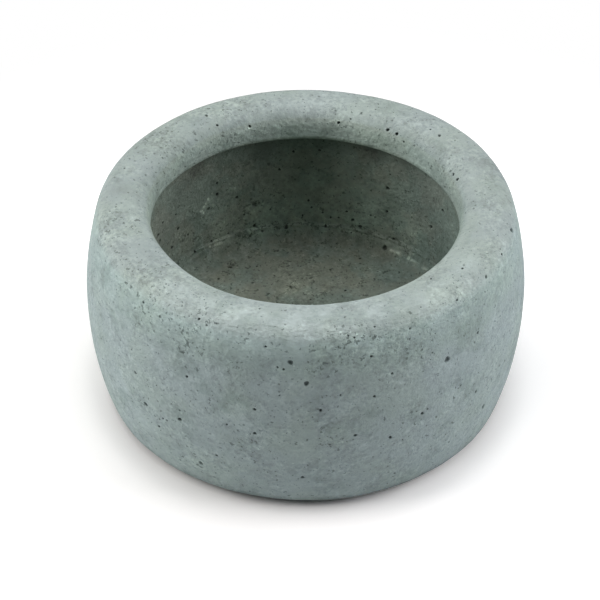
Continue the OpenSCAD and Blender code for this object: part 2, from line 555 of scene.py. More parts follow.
def flat_share(place):
    """0 where another piece lies on the concrete, 1 where the surface is free."""
    if place.z < base_z + flat_h:
        return 0
    return limit((place.xy.length - flat_ring_r) / flat_fade)


bm.normal_update()
for vert in bm.verts:
    push = dent_depth * rough_share(vert.co) * flat_share(vert.co)
    vert.co -= vert.normal * push
print("dents up to %.2f mm deep" % (dent_depth / mm))

# %% [markdown]
# ## A crease that dips
#
# The core wasn't pulled out quite level: at the back of the mouth the crease lies a
# little lower than at the front.

# %% Lower the crease at the back
crease_dip, dip_reach = 1.35 * mm, 4.5 * mm
dip_start, dip_end = 20, 160      # azimuth in degrees
more_at_right = 0.35
moved = 0
for vert in bm.verts:
    azimuth = azimuth_of(vert.co)
    if dip_start < azimuth < dip_end:
        on_way = (azimuth - dip_start) / (dip_end - dip_start)
        off = math.hypot(vert.co.xy.length - mouth_r, vert.co.z - crease_z)
        share = math.sin(math.pi * on_way) ** 0.8 * fade(off, dip_reach)
        if share > 0.01:
            sideways = math.cos(math.radians(azimuth))
            vert.co.z -= crease_dip * share * (1 + more_at_right * sideways)
            moved += 1
print("lowered %d vertices near the crease" % moved)

# %% [markdown]
# ## The burr at the foot of the cavity
#
# Where the core met its base plate a little cement squeezed out and left a ragged edge.
# It follows paths in the picture, which rays put on the bowl. The faces along them are
# cut finer, and noise lifts them into short broken ridges. Noise also pushes the step in
# the wall above them back here and there.

# %% Raise the burr
burr_paths = [
    # height in metres, then places in the picture
    (0.80 * mm, [(387, 250), (394, 252), (401, 254.5), (408, 258), (416, 263), (427, 270.5)]),
    (0.25 * mm, [(203, 248.5), (209, 246.5)]),
    (0.25 * mm, [(214, 245.5), (221, 243.5)]),
    (0.20 * mm, [(235, 241.5), (243, 240.5)]),
]
burr_width, burr_cut = 0.9 * mm, 1.6 * mm     # of a ridge, and of its finer faces
burr_waves, ledge_waves = 300, 90             # of the noise, per metre
fresh_share, fresh_height = 0.75, 0.6 * mm    # how pale a ridge of that height is
foot_in = 60 * mm                             # the burr lies outside this radius
foot_out = cavity_r + 1 * mm
ledge_z, ledge_reach, ledge_push = seam_z - 0.6 * mm, 2.0 * mm, 0.65 * mm

surface = BVHTree.FromBMesh(bm)
burr_lines = [(height, [surface.ray_cast(camera_at, ray_through(x, y))[0] for x, y in places])
              for height, places in burr_paths]


def off_line(place, points):
    """Distance from a place to the nearest stretch of a path."""
    nearest = 1.0
    for start, end in zip(points, points[1:]):
        _, share = geometry.intersect_point_line(place, start, end)
        nearest = min(nearest, (place - start.lerp(end, limit(share))).length)
    return nearest


spots = [(start.lerp(end, share / 4), burr_cut) for _, points in burr_lines
         for start, end in zip(points, points[1:]) for share in range(5)]
cut_finer(bm, faces_near(bm, spots))
bm.normal_update()

burr_layer = bm.verts.layers.float.new("burr")
for vert in bm.verts:
    at_foot = floor_z - 1 * mm < vert.co.z < seam_z + 6 * mm
    if at_foot and foot_in < vert.co.xy.length < foot_out:
        for height, points in burr_lines:
            off = off_line(vert.co, points)
            if off < 3 * burr_width:
                broken = limit(0.70 + 1.5 * noise.noise(vert.co * burr_waves))
                share = fade(off, burr_width) * broken
                vert.co += vert.normal * height * share
                pale = fresh_share * min(1, share * height / fresh_height)
                vert[burr_layer] = max(vert[burr_layer], pale)

for vert in bm.verts:
    near = 1 - abs(vert.co.z - ledge_z) / ledge_reach
    if near > 0 and vert.co.xy.length < foot_out:
        broken = limit(0.65 + 0.9 * noise.noise(vert.co * ledge_waves)
                       + 0.8 * noise.noise(vert.co * burr_waves))
        out = Vector((vert.co.x, vert.co.y, 0)).normalized()
        vert.co += out * ledge_push * broken * min(1, 3 * near)
print("burr along %d paths, now %d faces" % (len(burr_lines), len(bm.faces)))

# %% [markdown]
# ## Sinking the holes
#
# Each hole's vertices move into the concrete, most in the middle and not at all at the
# rim. Those nearest the rim are first pulled onto it, so that the edge comes out round.
# Two attributes tell the material what to colour: "hole" is how deep a vertex lies in a
# hole, where the material paints shade, and "burr" marks the fresh, pale cement of chips
# and ridges.

# %% Sink the air holes
rim_from, rim_to = 0.84, 1.14     # shares of the radius that are pulled onto the rim
open_from, open_range = 0.8 * mm, 0.5 * mm    # wide holes let light in, so they darken less
hole_shade_layer = bm.verts.layers.float.new("hole")
bm.verts.ensure_lookup_table()
tree = KDTree(len(bm.verts))
for vert in bm.verts:
    tree.insert(vert.co, vert.index)
tree.balance()

sunk = 0
for hole in air_holes:
    centre = tree.find(hole.place)[0]
    hole.place = hole.place + hole.outward * (centre - hole.place).dot(hole.outward)
    for _, index, _ in tree.find_range(hole.place, 1.5 * hole.radius):
        vert = bm.verts[index]
        share = hole.share(vert.co)
        if rim_from < share < rim_to:
            offset = vert.co - hole.place
            along_surface = offset - hole.outward * offset.dot(hole.outward)
            vert.co += along_surface * (1 / share - 1)
            share = 1.0
        if share <= 1:
            bowl_depth = math.sqrt(1 - share ** 2)
            vert.co -= hole.outward * hole.depth * bowl_depth ** 0.8
            if hole.pale:
                mark_layer, mark = burr_layer, min(1, 0.2 + bowl_depth)
            else:
                wide = limit((hole.radius - open_from) / open_range)
                mark_layer, mark = hole_shade_layer, (1 - 0.35 * wide) * min(1, 0.4 + bowl_depth)
            vert[mark_layer] = max(vert[mark_layer], mark)
            sunk += 1
print("%d vertices sunk into %d holes" % (sunk, len(air_holes)))

# %% [markdown]
# ## Smoothing out folds
#
# A few faces at the rims end up folded over their neighbours. An edge whose two faces
# look opposite ways gives a fold away, and easing the vertices round it opens most.

# %% Smooth out the folds
rounds, easing = 6, 0.5
fold_limit = -0.2     # the two faces' directions agree less than this at a fold
for _ in range(rounds):
    bm.normal_update()
    folds = [edge for edge in bm.edges
             if edge.link_faces[0].normal.dot(edge.link_faces[1].normal) < fold_limit]
    around = dict.fromkeys(vert for edge in folds for face in edge.link_faces
                           for vert in face.verts)
    bmesh.ops.smooth_vert(bm, verts=list(around), factor=easing,
                          use_axis_x=True, use_axis_y=True, use_axis_z=True)
    print("%d folded edges" % len(folds))

# %% [markdown]
# ## Marking the parts of the bowl
#
# Attributes tell the material which part is which. "cavity" is 1 below the crease and a
# third on the lip's inner face, "floor" is 1 on the floor, "tone_and_light" is the share
# by which the concrete is paler or darker, partly its own tone and partly painted light
# and shade, and "grit" is how thickly the dark sand grains lie. The patches of tone,
# painted light and grit come from the picture by rays, like the holes.

# %% Pale, dark and gritty patches
# Many of these patches are painted light and shade, not the concrete's own tone: the dark ones
# just under the lip at the back are painted shade, and the pale ones on the cavity's right
# wall, on the lip's inner face and, in part, along the front of the rim are painted light.
tone_and_light_patches = [
    # x, y, reach in pixels, share paler or darker
    (222, 354, 14, -0.12), (250, 366, 22, -0.10), (328, 362, 15, -0.16), (326, 382, 9, -0.12),
    (405, 352, 14, -0.08), (345, 455, 11, -0.10), (255, 455, 9, -0.08), (112, 222, 15, -0.10),
    (140, 277, 14, -0.13), (157, 140, 18, -0.18), (247, 106, 10, -0.18), (200, 158, 10, -0.08),
    (120, 190, 12, -0.16), (380, 468, 20, -0.10), (478, 302, 13, -0.10), (457, 288, 17, 0.10),
    (437, 306, 16, 0.10), (300, 330, 22, 0.10), (240, 326, 24, 0.26), (276, 330, 14, 0.14),
    (362, 332, 22, 0.20), (195, 318, 20, 0.06), (165, 308, 18, 0.12), (422, 320, 10, 0.14),
    (345, 117, 14, 0.18), (245, 128, 12, 0.12), (245, 415, 18, 0.16), (205, 385, 16, 0.12),
    (112, 300, 22, 0.10), (462, 385, 16, 0.12), (470, 262, 12, 0.12), (320, 314, 26, 0.16),
    (152, 290, 14, 0.12), (222, 308, 22, 0.12), (388, 318, 22, 0.18), (126, 392, 24, 0.14),
    (302, 134, 14, 0.26), (308, 121, 6, -0.24), (262, 130, 8, -0.20), (240, 134, 5, 0.25),
    (382, 130, 16, 0.18), (340, 134, 10, 0.16), (140, 212, 12, 0.14), (489, 163, 17, -0.20),
    (360, 382, 12, -0.08), (262, 470, 12, -0.08), (385, 190, 34, 0.22), (412, 234, 22, 0.32),
    (340, 178, 22, 0.12), (228, 208, 16, 0.14), (213, 230, 15, 0.20), (285, 229, 13, -0.16),
    (300, 292, 20, 0.18), (178, 200, 14, -0.16), (310, 226, 16, -0.08), (364, 210, 18, 0.33),
    (250, 272, 18, -0.12), (167, 227, 12, -0.15), (262, 154, 14, -0.34), (374, 155, 14, -0.34),
    (196, 172, 14, -0.34), (408, 166, 10, -0.26), (183, 186, 9, -0.20), (222, 284, 12, 0.10),
    (204, 210, 4.5, 0.55), (210, 200, 4, 0.40), (396, 252, 4, 0.25), (407, 258, 5, 0.30),
    (418, 265, 5, 0.18), (302, 131, 6, 0.18), (284, 128, 8, -0.10), (350, 116, 6, 0.18),
    (352, 138, 8, -0.14), (120, 252, 14, -0.12), (430, 205, 14, -0.10),
]
grit_patches = [
    # x, y, reach in pixels, how thick from 0 to 1
    (115, 225, 26, 1.0), (135, 275, 24, 0.9), (160, 140, 30, 0.9), (210, 110, 24, 0.7),
    (150, 310, 26, 0.8), (190, 320, 24, 0.9), (185, 350, 18, 0.8), (240, 345, 24, 0.6),
    (340, 335, 22, 1.0), (375, 340, 20, 0.9), (325, 360, 18, 0.8), (410, 345, 20, 0.7),
    (455, 300, 20, 0.6), (490, 250, 20, 0.5), (490, 200, 18, 0.5), (450, 160, 18, 0.6),
    (150, 410, 16, 0.7), (260, 440, 22, 0.6), (330, 440, 20, 0.6), (200, 462, 20, 0.6),
    (420, 410, 18, 0.4), (250, 220, 34, 0.9), (185, 235, 26, 1.0), (420, 240, 26, 0.8),
    (300, 270, 34, 0.7), (350, 225, 24, 0.8), (230, 270, 24, 0.9), (345, 110, 20, 0.5),
    (360, 275, 26, 0.9), (300, 300, 30, 0.8), (250, 100, 24, 0.5), (400, 120, 20, 0.5),
    (262, 316, 20, -0.2), (312, 318, 22, -0.4), (390, 310, 16, -0.2), (470, 235, 18, -0.3),
    (150, 225, 12, -0.4), (430, 395, 26, -0.4), (310, 392, 22, -0.2), (105, 330, 20, -0.3),
    (475, 330, 26, -0.4),
]
surface = BVHTree.FromBMesh(bm)


def on_surface(patches):
    """Place, reach in metres and strength of each patch."""
    found = []
    for x, y, reach, strength in patches:
        place, _, _, distance = surface.ray_cast(camera_at, ray_through(x, y))
        found.append((place, real_size(reach, distance), strength))
    return found


def add_up(patches, place):
    """The patches' strengths at a place, each fading out round its middle."""
    total = 0
    for middle, reach, strength in patches:
        off = (place - middle).length_squared / reach ** 2
        if off < 6:
            total += strength * math.exp(-off)
    return total


tone_and_light_spots, grits = on_surface(tone_and_light_patches), on_surface(grit_patches)
print(len(tone_and_light_spots), "tone and", len(grits), "grit patches")

# %% [markdown]
# ### Rings of tone and painted light
#
# Some patches run round the bowl, and they are painted light and shade: a painted
# highlight on the front of the shoulder and along the front of the lip's edge, painted
# light on the lip's inner face and on the cavity's far wall, most at the back, and a ring
# of painted shade on the wall under the crease.

# %% Mark the bowl
shoulder_z, shoulder_reach, shoulder_highlight = 94.5 * mm, 5 * mm, 0.27
lip_highlight_r, lip_highlight_reach, lip_highlight = 73 * mm, 1.8 * mm, 0.18
face_painted_light, face_painted_light_at_back = 0.06, 0.39
far_wall_z, far_wall_reach, far_wall_painted_light = 34 * mm, 22 * mm, 0.34
under_crease_shade_reach, under_crease_shade = 8 * mm, 0.31
least_grit = -0.4

cavity_layer, floor_layer, tone_and_light_layer, grit_layer = [
    bm.verts.layers.float.new(name) for name in ("cavity", "floor", "tone_and_light", "grit")]
for vert in bm.verts:
    height, radius = vert.co.z, vert.co.xy.length
    to_back = vert.co.y / radius      # 1 at the back, -1 at the front
    inside = radius < cavity_r + 2 * mm and height > floor_z - 3 * mm
    on_lip = radius < crest_r and height >= crease_z - 1 * mm
    in_cavity_share = limit((crease_z + 1 * mm - height) / (2 * mm)) if inside else 0
    if on_lip:
        inner_face = limit((crest_z - 2.5 * mm - height) / (3 * mm))
        in_cavity_share = max(in_cavity_share, 0.34 * inner_face)
    on_floor_share = limit((floor_z + 4.5 * mm - height) / (4 * mm)) if inside else 0

    tone_and_light = add_up(tone_and_light_spots, vert.co)
    if radius > crest_r:
        # painted highlight on the front of the shoulder
        at_shoulder = fade(height - shoulder_z, shoulder_reach)
        tone_and_light += shoulder_highlight * max(0, -to_back) * at_shoulder
    elif on_lip:
        # painted light on the lip's inner face, most at the back
        low_face = limit((crest_z - 3 * mm - height) / (6 * mm))
        tone_and_light += (face_painted_light + face_painted_light_at_back * max(0, to_back) ** 3) * low_face
        # painted highlight along the front of the lip's edge
        tone_and_light += lip_highlight * max(0, -to_back) * fade(radius - lip_highlight_r, lip_highlight_reach)
    elif inside:
        # painted light on the cavity's far wall at the back
        facing = limit((to_back - 0.70) / 0.17) * (1 - on_floor_share)
        tone_and_light += far_wall_painted_light * facing * fade(height - far_wall_z, far_wall_reach)
        # painted shade in a ring on the wall under the crease
        tone_and_light -= under_crease_shade * fade(crease_z - height, under_crease_shade_reach)

    vert[cavity_layer], vert[floor_layer] = in_cavity_share, on_floor_share
    vert[tone_and_light_layer] = tone_and_light
    vert[grit_layer] = limit(add_up(grits, vert.co), least_grit, 1)
print("marked %d vertices" % len(bm.verts))

# %% [markdown]
# ### From mesh to piece
#
# A finished mesh becomes a smooth object, and two calls tie it to the CAD model: it
# rides on a body and stands for a node, which is hidden.

# %% Finish the bowl


def finish_piece(bm, name, node, body):
    """A smooth piece that stands for a CAD node and rides its body."""
    mesh = bpy.data.meshes.new(name)
    bm.to_mesh(mesh)
    bm.free()
    mesh.shade_smooth()
    piece = add_object(name, mesh)
    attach(piece, body)
    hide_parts(node)
    triangles = sum(len(face.vertices) - 2 for face in mesh.polygons)
    print("%s: %d triangles" % (name, triangles))
    return piece


bowl = finish_piece(bm, "concrete_bowl", "bowl", "planter")

# %% [markdown]
# ## The stopper
#
# The stem has three sealing rings, a domed flange lies on the floor, and a waisted grip
# lets two fingers pull it out. It is drawn and spun like the bowl.

# %% Draw and spin the stopper
stem_r = drain_r - 0.3 * mm
stem_l = 16 * mm
tip_l, tip_taper, tip_round = 4 * mm, 1 * mm, 0.5 * mm
groove, ring_count = 0.8 * mm, 3
flange_r, flange_t, flange_dome = drain_r + 5 * mm, 1.6 * mm, 1 * mm
flange_edge = 0.5 * mm
grip_r, waist_r, grip_h = 5 * mm, 3.25 * mm, 7 * mm
waist_flare = 1.2 * mm
dimple_r, dimple_t = 2.4 * mm, 0.4 * mm
rubber_step = 0.35 * mm

tip_z = floor_z - stem_l
tip_r = stem_r - groove - tip_taper
ring_h = (stem_l - tip_l) / ring_count
flange_c = flange_r - flange_edge     # radius at which the flange's edge turns
neck_z = floor_z + flange_t + flange_dome
bead_r = grip_r - waist_r
bead_c = Vector((waist_r, neck_z + grip_h - bead_r))
top_z = bead_c.y + bead_r

# one sealing ring: shares of its height, and how far inside the stem
ring_profile = [(0.42, 0.1 * mm), (0.50, 0), (0.62, 0), (0.68, 0.1 * mm), (1, groove)]

pen = Pen(0, tip_z, rubber_step)
pen.line(tip_r - tip_round, tip_z, 2 * rubber_step)
pen.arc(Vector((tip_r - tip_round, tip_z + tip_round)), 0)
pen.line(stem_r - groove, tip_z + tip_l, 2 * rubber_step)
for ring in range(ring_count):
    for rise, depth in ring_profile:
        ring_z = tip_z + tip_l + ring * ring_h + rise * ring_h
        pen.line(stem_r - depth, ring_z)
pen.line(flange_c, floor_z)
pen.arc(Vector((flange_c, floor_z + flange_edge)), 0, rubber_step / 2)
pen.arc(Vector((flange_c, floor_z + flange_t - flange_edge)), math.pi / 2, rubber_step / 2)
pen.line(waist_r + waist_flare, neck_z)
pen.arc(Vector((waist_r + waist_flare, neck_z + waist_flare)), math.pi)
pen.line(waist_r, bead_c.y - bead_r)
pen.arc(bead_c, 0)
pen.arc(bead_c, math.pi / 2)
pen.line(dimple_r, top_z)
pen.line(dimple_r - dimple_t, top_z - dimple_t)
pen.line(0, top_z - dimple_t)
stopper = finish_piece(pen.turn_on_axis(sectors=96), "rubber_stopper", "drain_plug",
                       "stopper")

# %% [markdown]
# ## The pads
#
# Four discs of foam rubber: a filled circle is extruded upward, loops cut between its
# ends are scaled out a little, because foam bulges, and a bevel rounds the lower edge.

# %% Make the four pads
pad_ring_r = foot_c.x - pad_edge - pad_d / 2
bulge = 0.12 * mm
pad_bevel = 0.35 * mm
pads = []
for number in range(1, 5):
    bm = bmesh.new()
    bmesh.ops.create_circle(bm, cap_ends=True, radius=pad_d / 2 - bulge, segments=64)
    top = bmesh.ops.extrude_face_region(bm, geom=bm.faces[:])["geom"]
    top_verts = [g for g in top if isinstance(g, bmesh.types.BMVert)]
    bmesh.ops.translate(bm, verts=top_verts, vec=(0, 0, pad_t))
    upright = [e for e in bm.edges if abs(e.verts[0].co.z - e.verts[1].co.z) > pad_t / 2]
    bmesh.ops.subdivide_edges(bm, edges=upright, cuts=3)
    for vert in bm.verts:
        rise = vert.co.z / pad_t
        widen = 1 + 2 * bulge / pad_d * 4 * rise * (1 - rise)
        vert.co.x *= widen
        vert.co.y *= widen
    bottom = [e for e in bm.edges if all(v.co.z < 0.01 * mm for v in e.verts)]
    bmesh.ops.bevel(bm, geom=bottom, offset=pad_bevel, segments=3, profile=0.5,
                    affect="EDGES", material=-1)
    bmesh.ops.recalc_face_normals(bm, faces=bm.faces)
    corner = Matrix.Rotation(math.radians(45 + 90 * (number - 1)), 4, "Z")
    bmesh.ops.transform(bm, matrix=corner @ Matrix.Translation((pad_ring_r, 0, 0)),
                        verts=bm.verts)
    pads.append(finish_piece(bm, "rubber_pad_%d" % number, "foot_pad_%d" % number,
                             "planter"))

# %% [markdown]
# ## Building materials from nodes
#
# A material is a chain of small steps, and each step is a node that passes on a number
# or a colour. The class below wraps what comes out of a node, so that ordinary signs add
# and multiply such values. The helpers after it shorten the steps that come up often.

# %% Helpers for nodes


class Value:
    """A number, place or colour in a material; +, -, * and / combine it with others."""

    def __init__(self, socket):
        self.socket, self.tree = socket, socket.id_data

    def beside(self, name):
        """Another output of the same node."""
        return Value(self.socket.node.outputs[name])

    def __add__(self, other):
        return calculate("ADD", self, other)

    def __sub__(self, other):
        return calculate("SUBTRACT", self, other)

    def __rsub__(self, other):
        return calculate("SUBTRACT", other, self)

    def __mul__(self, other):
        return calculate("MULTIPLY", self, other)

    def __truediv__(self, other):
        return calculate("DIVIDE", self, other)


def fill(socket, value):
    """Links a value to a socket, or sets the socket to a plain number or colour."""
    if isinstance(value, Value):
        value.tree.links.new(value.socket, socket)
    else:
        socket.default_value = value


def build(tree, kind, inputs=(), output=0, **settings):
    """Adds a node, fills its inputs and gives back one of its outputs as a value."""
    node = tree.nodes.new(kind)
    for name, setting in settings.items():
        setattr(node, name, setting)
    for key, value in dict(inputs).items():
        fill(node.inputs[key], value)
    return Value(node.outputs[output])


def tree_of(*values):
    """The tree of nodes that these values belong to."""
    return next(value.tree for value in values if isinstance(value, Value))


def calculate(operation, *numbers):
    """A sum, product or other step with numbers."""
    return build(tree_of(*numbers), "ShaderNodeMath", enumerate(numbers),
                 operation=operation)


def calculate_place(operation, first, second=None, output=0, **more):
    """A step with places or colours, such as their sum, length or direction."""
    inputs = {0: first, **more} if second is None else {0: first, 1: second}
    return build(first.tree, "ShaderNodeVectorMath", inputs, output, operation=operation)


def split(value, kind="ShaderNodeSeparateXYZ"):
    """The three numbers in a place or a colour."""
    node = build(value.tree, kind, {0: value}).socket.node
    return [Value(output) for output in node.outputs]


def speckle_noise(place, size, detail=2.0, roughness=0.5, seed=0.0):
    """Noise with patches about that wide; 0 to 1, mostly near 0.5."""
    return build(place.tree, "ShaderNodeTexNoise", {
        "Vector": place, "W": seed, "Scale": 0.6 / size, "Detail": detail,
        "Roughness": roughness}, "Fac", noise_dimensions="4D")


def squeeze(value, low, high, out_low=0.0, out_high=1.0):
    """Maps low..high to out_low..out_high with soft ends."""
    return build(value.tree, "ShaderNodeMapRange", {
        "Value": value, "From Min": low, "From Max": high,
        "To Min": out_low, "To Max": out_high}, "Result", interpolation_type="SMOOTHSTEP")


def lay_over(below, above, share, blend="MIX"):
    """Lays one colour over another, by that share."""
    return build(tree_of(below, above, share), "ShaderNodeMix",
                 {0: share, 6: below, 7: above}, 2, data_type="RGBA", blend_type=blend)


def show_relief(shader, height, strength, distance):
    """Lets the light see that height, up to that distance, as bumps."""
    fill(shader.inputs["Normal"], build(height.tree, "ShaderNodeBump", {
        "Height": height, "Strength": strength, "Distance": distance}, "Normal"))


def new_material(name, roughness, specular):
    """An empty material with its shader, and the place on the piece in metres."""
    material = bpy.data.materials.new(name)
    material.use_nodes = True
    tree = material.node_tree
    shader = tree.nodes["Principled BSDF"]
    shader.inputs["Roughness"].default_value = roughness
    shader.inputs["Specular IOR Level"].default_value = specular
    return material, tree, shader, build(tree, "ShaderNodeTexCoord", output="Object")


print("helpers for nodes")

# %% [markdown]
# ## Concrete
#
# Concrete is grey from afar and many colours close up. The layers below go from wide to
# fine, each with the size that it has on the real bowl. First comes the cement: a grey
# green that drifts between bluer and greener patches, and is browner in the cavity.

# %% Concrete: the cement's own colour
green_grey = (0.309, 0.389, 0.381, 1)
blue_grey = (0.305, 0.381, 0.389, 1)
cavity_green = (0.187, 0.235, 0.198, 1)
cavity_brown = (0.200, 0.232, 0.192, 1)
floor_brown = (0.208, 0.228, 0.186, 1)

concrete, tree, shader, place = new_material("cast_concrete", 0.86, 0.30)
cavity, on_floor, toned_and_lit, gritty, fresh, hole_shade_share = [
    build(tree, "ShaderNodeAttribute", output="Fac", attribute_name=name)
    for name in ("cavity", "floor", "tone_and_light", "grit", "burr", "hole")]

# size in millimetres, detail, roughness and seed of each noise
drift, damp, cloud, zone, mottle, grain, crowd, wobble = [
    speckle_noise(place, size * mm, *more) for size, *more in (
        (14, 4, 0.62, 2.3), (12, 4, 0.6, 5.9), (9, 5, 0.66, 5.1), (7, 3, 0.6, 3.9),
        (2.6, 4, 0.62, 8.2), (0.9, 3, 0.62, 4.4), (4, 3, 0.6, 10.3), (6, 4, 0.65, 9.4))]

colour = lay_over(green_grey, blue_grey, squeeze(drift, 0.40, 0.60))
cavity_colour = lay_over(cavity_green, cavity_brown, squeeze(damp, 0.45, 0.58))
colour = lay_over(colour, cavity_colour, cavity * 0.92)
stained = squeeze(drift, 0.56, 0.44, 0.15, 0.85)
colour = lay_over(colour, floor_brown, on_floor * stained)
print("concrete: cement")

# %% [markdown]
# ### Clouds and tints
#
# The peaks of one wide noise turn paler and its hollows browner. The rest are faint
# tints: green below the rim, warm on its top and the lip's inner face, olive where the
# sand lies thickly. Most layers multiply the colour instead of covering it, so they show
# on pale and dark concrete alike.

# %% Concrete: clouds and tints
light = (1.39, 1.38, 1.365, 1)
dark = (0.50, 0.50, 0.49, 1)
brown = (0.65, 0.69, 0.66, 1)
faint_green = (0.975, 1.000, 0.975, 1)
warm = (1.046, 1.000, 0.966, 1)
lip_warm = (1.018, 1.000, 0.966, 1)
olive = (0.990, 1.000, 0.978, 1)


def shade(colour, *layers):
    """Multiplies a colour by tints, one layer after another, each by its own share."""
    for share, tint in layers:
        colour = lay_over(colour, tint, share, blend="MULTIPLY")
    return colour


x, y, z = split(place)
cloudy = squeeze(z, 80 * mm, 95 * mm, 1.0, 0.8)
below_rim = squeeze(z, 74 * mm, 84 * mm) - squeeze(z, 92 * mm, 98 * mm)
lip_face = squeeze(cavity, 0.22, 0.34) - squeeze(cavity, 0.5, 1.0)
colour = shade(colour, (squeeze(cloud, 0.50, 0.62, 0, 0.20) * cloudy, light),
               (squeeze(cloud, 0.48, 0.37, 0, 0.52) * cloudy, brown),
               (below_rim, faint_green), (squeeze(z, 92 * mm, 99 * mm), warm),
               (lip_face, lip_warm), (gritty * squeeze(cloud, 0.44, 0.54), olive))
# tone_and_light holds the concrete's own paler and darker patches together with painted
# highlights, painted light and painted shade
broken_tone_and_light = toned_and_lit * squeeze(cloud, 0.42, 0.58, 0.75, 1.25)
colour = calculate_place("SCALE", colour, Scale=broken_tone_and_light + 1.0)
print("concrete: clouds and tints")

# %% [markdown]
# ### Strokes need a direction
#
# The hand went round the bowl. Noise has no direction of its own, so the strokes' noise
# reads the way round the bowl, shortened so that it comes out long, and the way across,
# up the side and in over the rim. All fine patterns fade where the surface is smooth.

# %% Concrete: strokes and mottle
stroke_stretch = 2.2
damp_tint = (0.92, 0.97, 1.01, 1)
flat = build(tree, "ShaderNodeCombineXYZ", {"X": x, "Y": y})
away = calculate_place("LENGTH", flat, output="Value")
way_round = calculate_place("SCALE", calculate_place("NORMALIZE", flat),
                            Scale=outer_r / stroke_stretch)
way_across = build(tree, "ShaderNodeCombineXYZ", {"Z": z - away})
along_stroke = calculate_place("ADD", way_round, way_across)
colour = shade(colour, (squeeze(x / away, 0.45, 0.80) * cavity, damp_tint))

rough = cavity * 0.15 + (gritty * 0.55 + squeeze(zone, 0.42, 0.58, 0.22, 0.85))
strokes = speckle_noise(along_stroke, 1.1 * mm, detail=4, roughness=0.62, seed=1.7)
for pattern, spread, lighter, darker in (
        (mottle, 0.13, 0.30, 0.27), (strokes, 0.13, 0.22, 0.17), (grain, 0.14, 0.36, 0.30)):
    peaks = squeeze(pattern, 0.50, 0.50 + spread, 0, lighter)
    hollows = squeeze(pattern, 0.50, 0.50 - spread, 0, darker)
    colour = shade(colour, (peaks * rough, light), (hollows * rough, dark))
print("concrete: strokes and mottle")

# %% [markdown]
# ### Sand grains and pinholes
#
# A sand grain is the tip of very fine noise: cutting the noise lower gives more and wider
# grains. Pale flecks are partly pale grains and partly painted highlights on the fine
# relief. Pinholes are the middles of Voronoi cells, and one cell in five has one; their
# dark colour is painted shade.

# %% Concrete: sand grains and pinholes
fleck_tint = (0.22, 0.24, 0.23, 1)
pinhole_shade_colour = (0.060, 0.074, 0.074, 1)
sandy = cavity * 0.22 + (gritty * 0.80 + 0.20)
crowded = sandy * squeeze(crowd, 0.43, 0.57, 0.1, 1.25)


def flecks(size, sparse, dense, seed):
    """Grains: the peaks of fine noise, cut lower where sand lies thickly."""
    peaks = speckle_noise(place, size, detail=2, roughness=0.55, seed=seed)
    edge = crowded * (dense - sparse) + sparse
    return squeeze(peaks - edge, 0.0, 0.035)


coarse_flecks = flecks(1.5 * mm, 0.680, 0.610, 6.1)
fine_flecks = flecks(0.85 * mm, 0.665, 0.585, 7.7)
# pale flecks: partly pale grains, partly painted highlights on the fine relief
pale_grains_and_glints = flecks(0.85 * mm, 0.670, 0.600, 12.6)
colour = shade(colour, (fine_flecks * 0.58, fleck_tint),
               (pale_grains_and_glints * (cavity * 0.65 + 0.30), light),
               (coarse_flecks * 0.62, fleck_tint))

to_middle = build(tree, "ShaderNodeTexVoronoi",
                  {"Vector": place, "Scale": 1 / (3.0 * mm)}, "Distance")
lot, second_lot, _ = split(to_middle.beside("Color"), "ShaderNodeSeparateColor")
pin = squeeze(second_lot * 0.09 + 0.06 - to_middle, 0.0, 0.03)
pins = calculate("GREATER_THAN", lot, 0.80) * pin
# painted shade in the pinholes
colour = lay_over(colour, pinhole_shade_colour, pins * 0.75)
print("concrete: sand grains and pinholes")

# %% [markdown]
# ### Seam, chips, holes, foot and relief
#
# A thin dark line wanders round the foot of the cavity, where the core's base plate sat.
# The holes and the foot of the bowl, where it meets the floor, darken with painted shade.
# The patterns that colour the surface also raise and lower it, so the light sees what the
# eye sees.

# %% Concrete: seam, chips, holes, foot and relief
fresh_outside, fresh_inside = (1.38, 1.39, 1.36, 1), (2.05, 1.95, 1.95, 1)
hole_shade_tint = (0.14, 0.15, 0.15, 1)
off_seam = calculate("ABSOLUTE", z - (wobble * (14 * mm) + (seam_z - 7.6 * mm)))
seam_line = squeeze(off_seam, 0.7 * mm, 0.2 * mm) * squeeze(strokes, 0.46, 0.56) * cavity
colour = shade(colour, (seam_line * 0.65, fleck_tint),
               (fresh, lay_over(fresh_outside, fresh_inside, cavity)),
               # painted shade inside the air holes
               (squeeze(hole_shade_share, 0.10, 1.0), hole_shade_tint),
               # painted shade at the foot, where the bowl meets the floor
               (squeeze(z, 9 * mm, 2.5 * mm, 0, 0.60), dark))
fill(shader.inputs["Base Color"], colour)

height = (strokes * 1.6 + grain + mottle * 1.4
          + fine_flecks * -0.10 + coarse_flecks * -0.22 + pins * -0.45)
show_relief(shader, height, 0.75, 0.60 * mm)
fill(shader.inputs["Roughness"], squeeze(mottle, 0.38, 0.62, 0.78, 0.94))
bowl.data.materials.append(concrete)
print("concrete: seam, chips, holes, foot and relief")

# %% [markdown]
# ## Two rubbers
#
# The stopper is moulded: nearly black, slightly shiny, a little dusty. The pads are dull
# foam, full of tiny cells, with a pale film of adhesive along the upper edge.

# %% Rubber
moulded_black, stone_dust = (0.026, 0.028, 0.028, 1), (0.12, 0.125, 0.12, 1)
moulded, tree, shader, place = new_material("moulded_rubber", 0.48, 0.45)
dust = speckle_noise(place, 2.2 * mm, detail=5, roughness=0.7, seed=3.0)
fill(shader.inputs["Base Color"],
     lay_over(moulded_black, stone_dust, squeeze(dust, 0.55, 0.80, 0, 0.55)))
fill(shader.inputs["Roughness"], squeeze(dust, 0.40, 0.75, 0.42, 0.80))
show_relief(shader, speckle_noise(place, 0.25 * mm, seed=1.0), 0.25, 0.05 * mm)
stopper.data.materials.append(moulded)

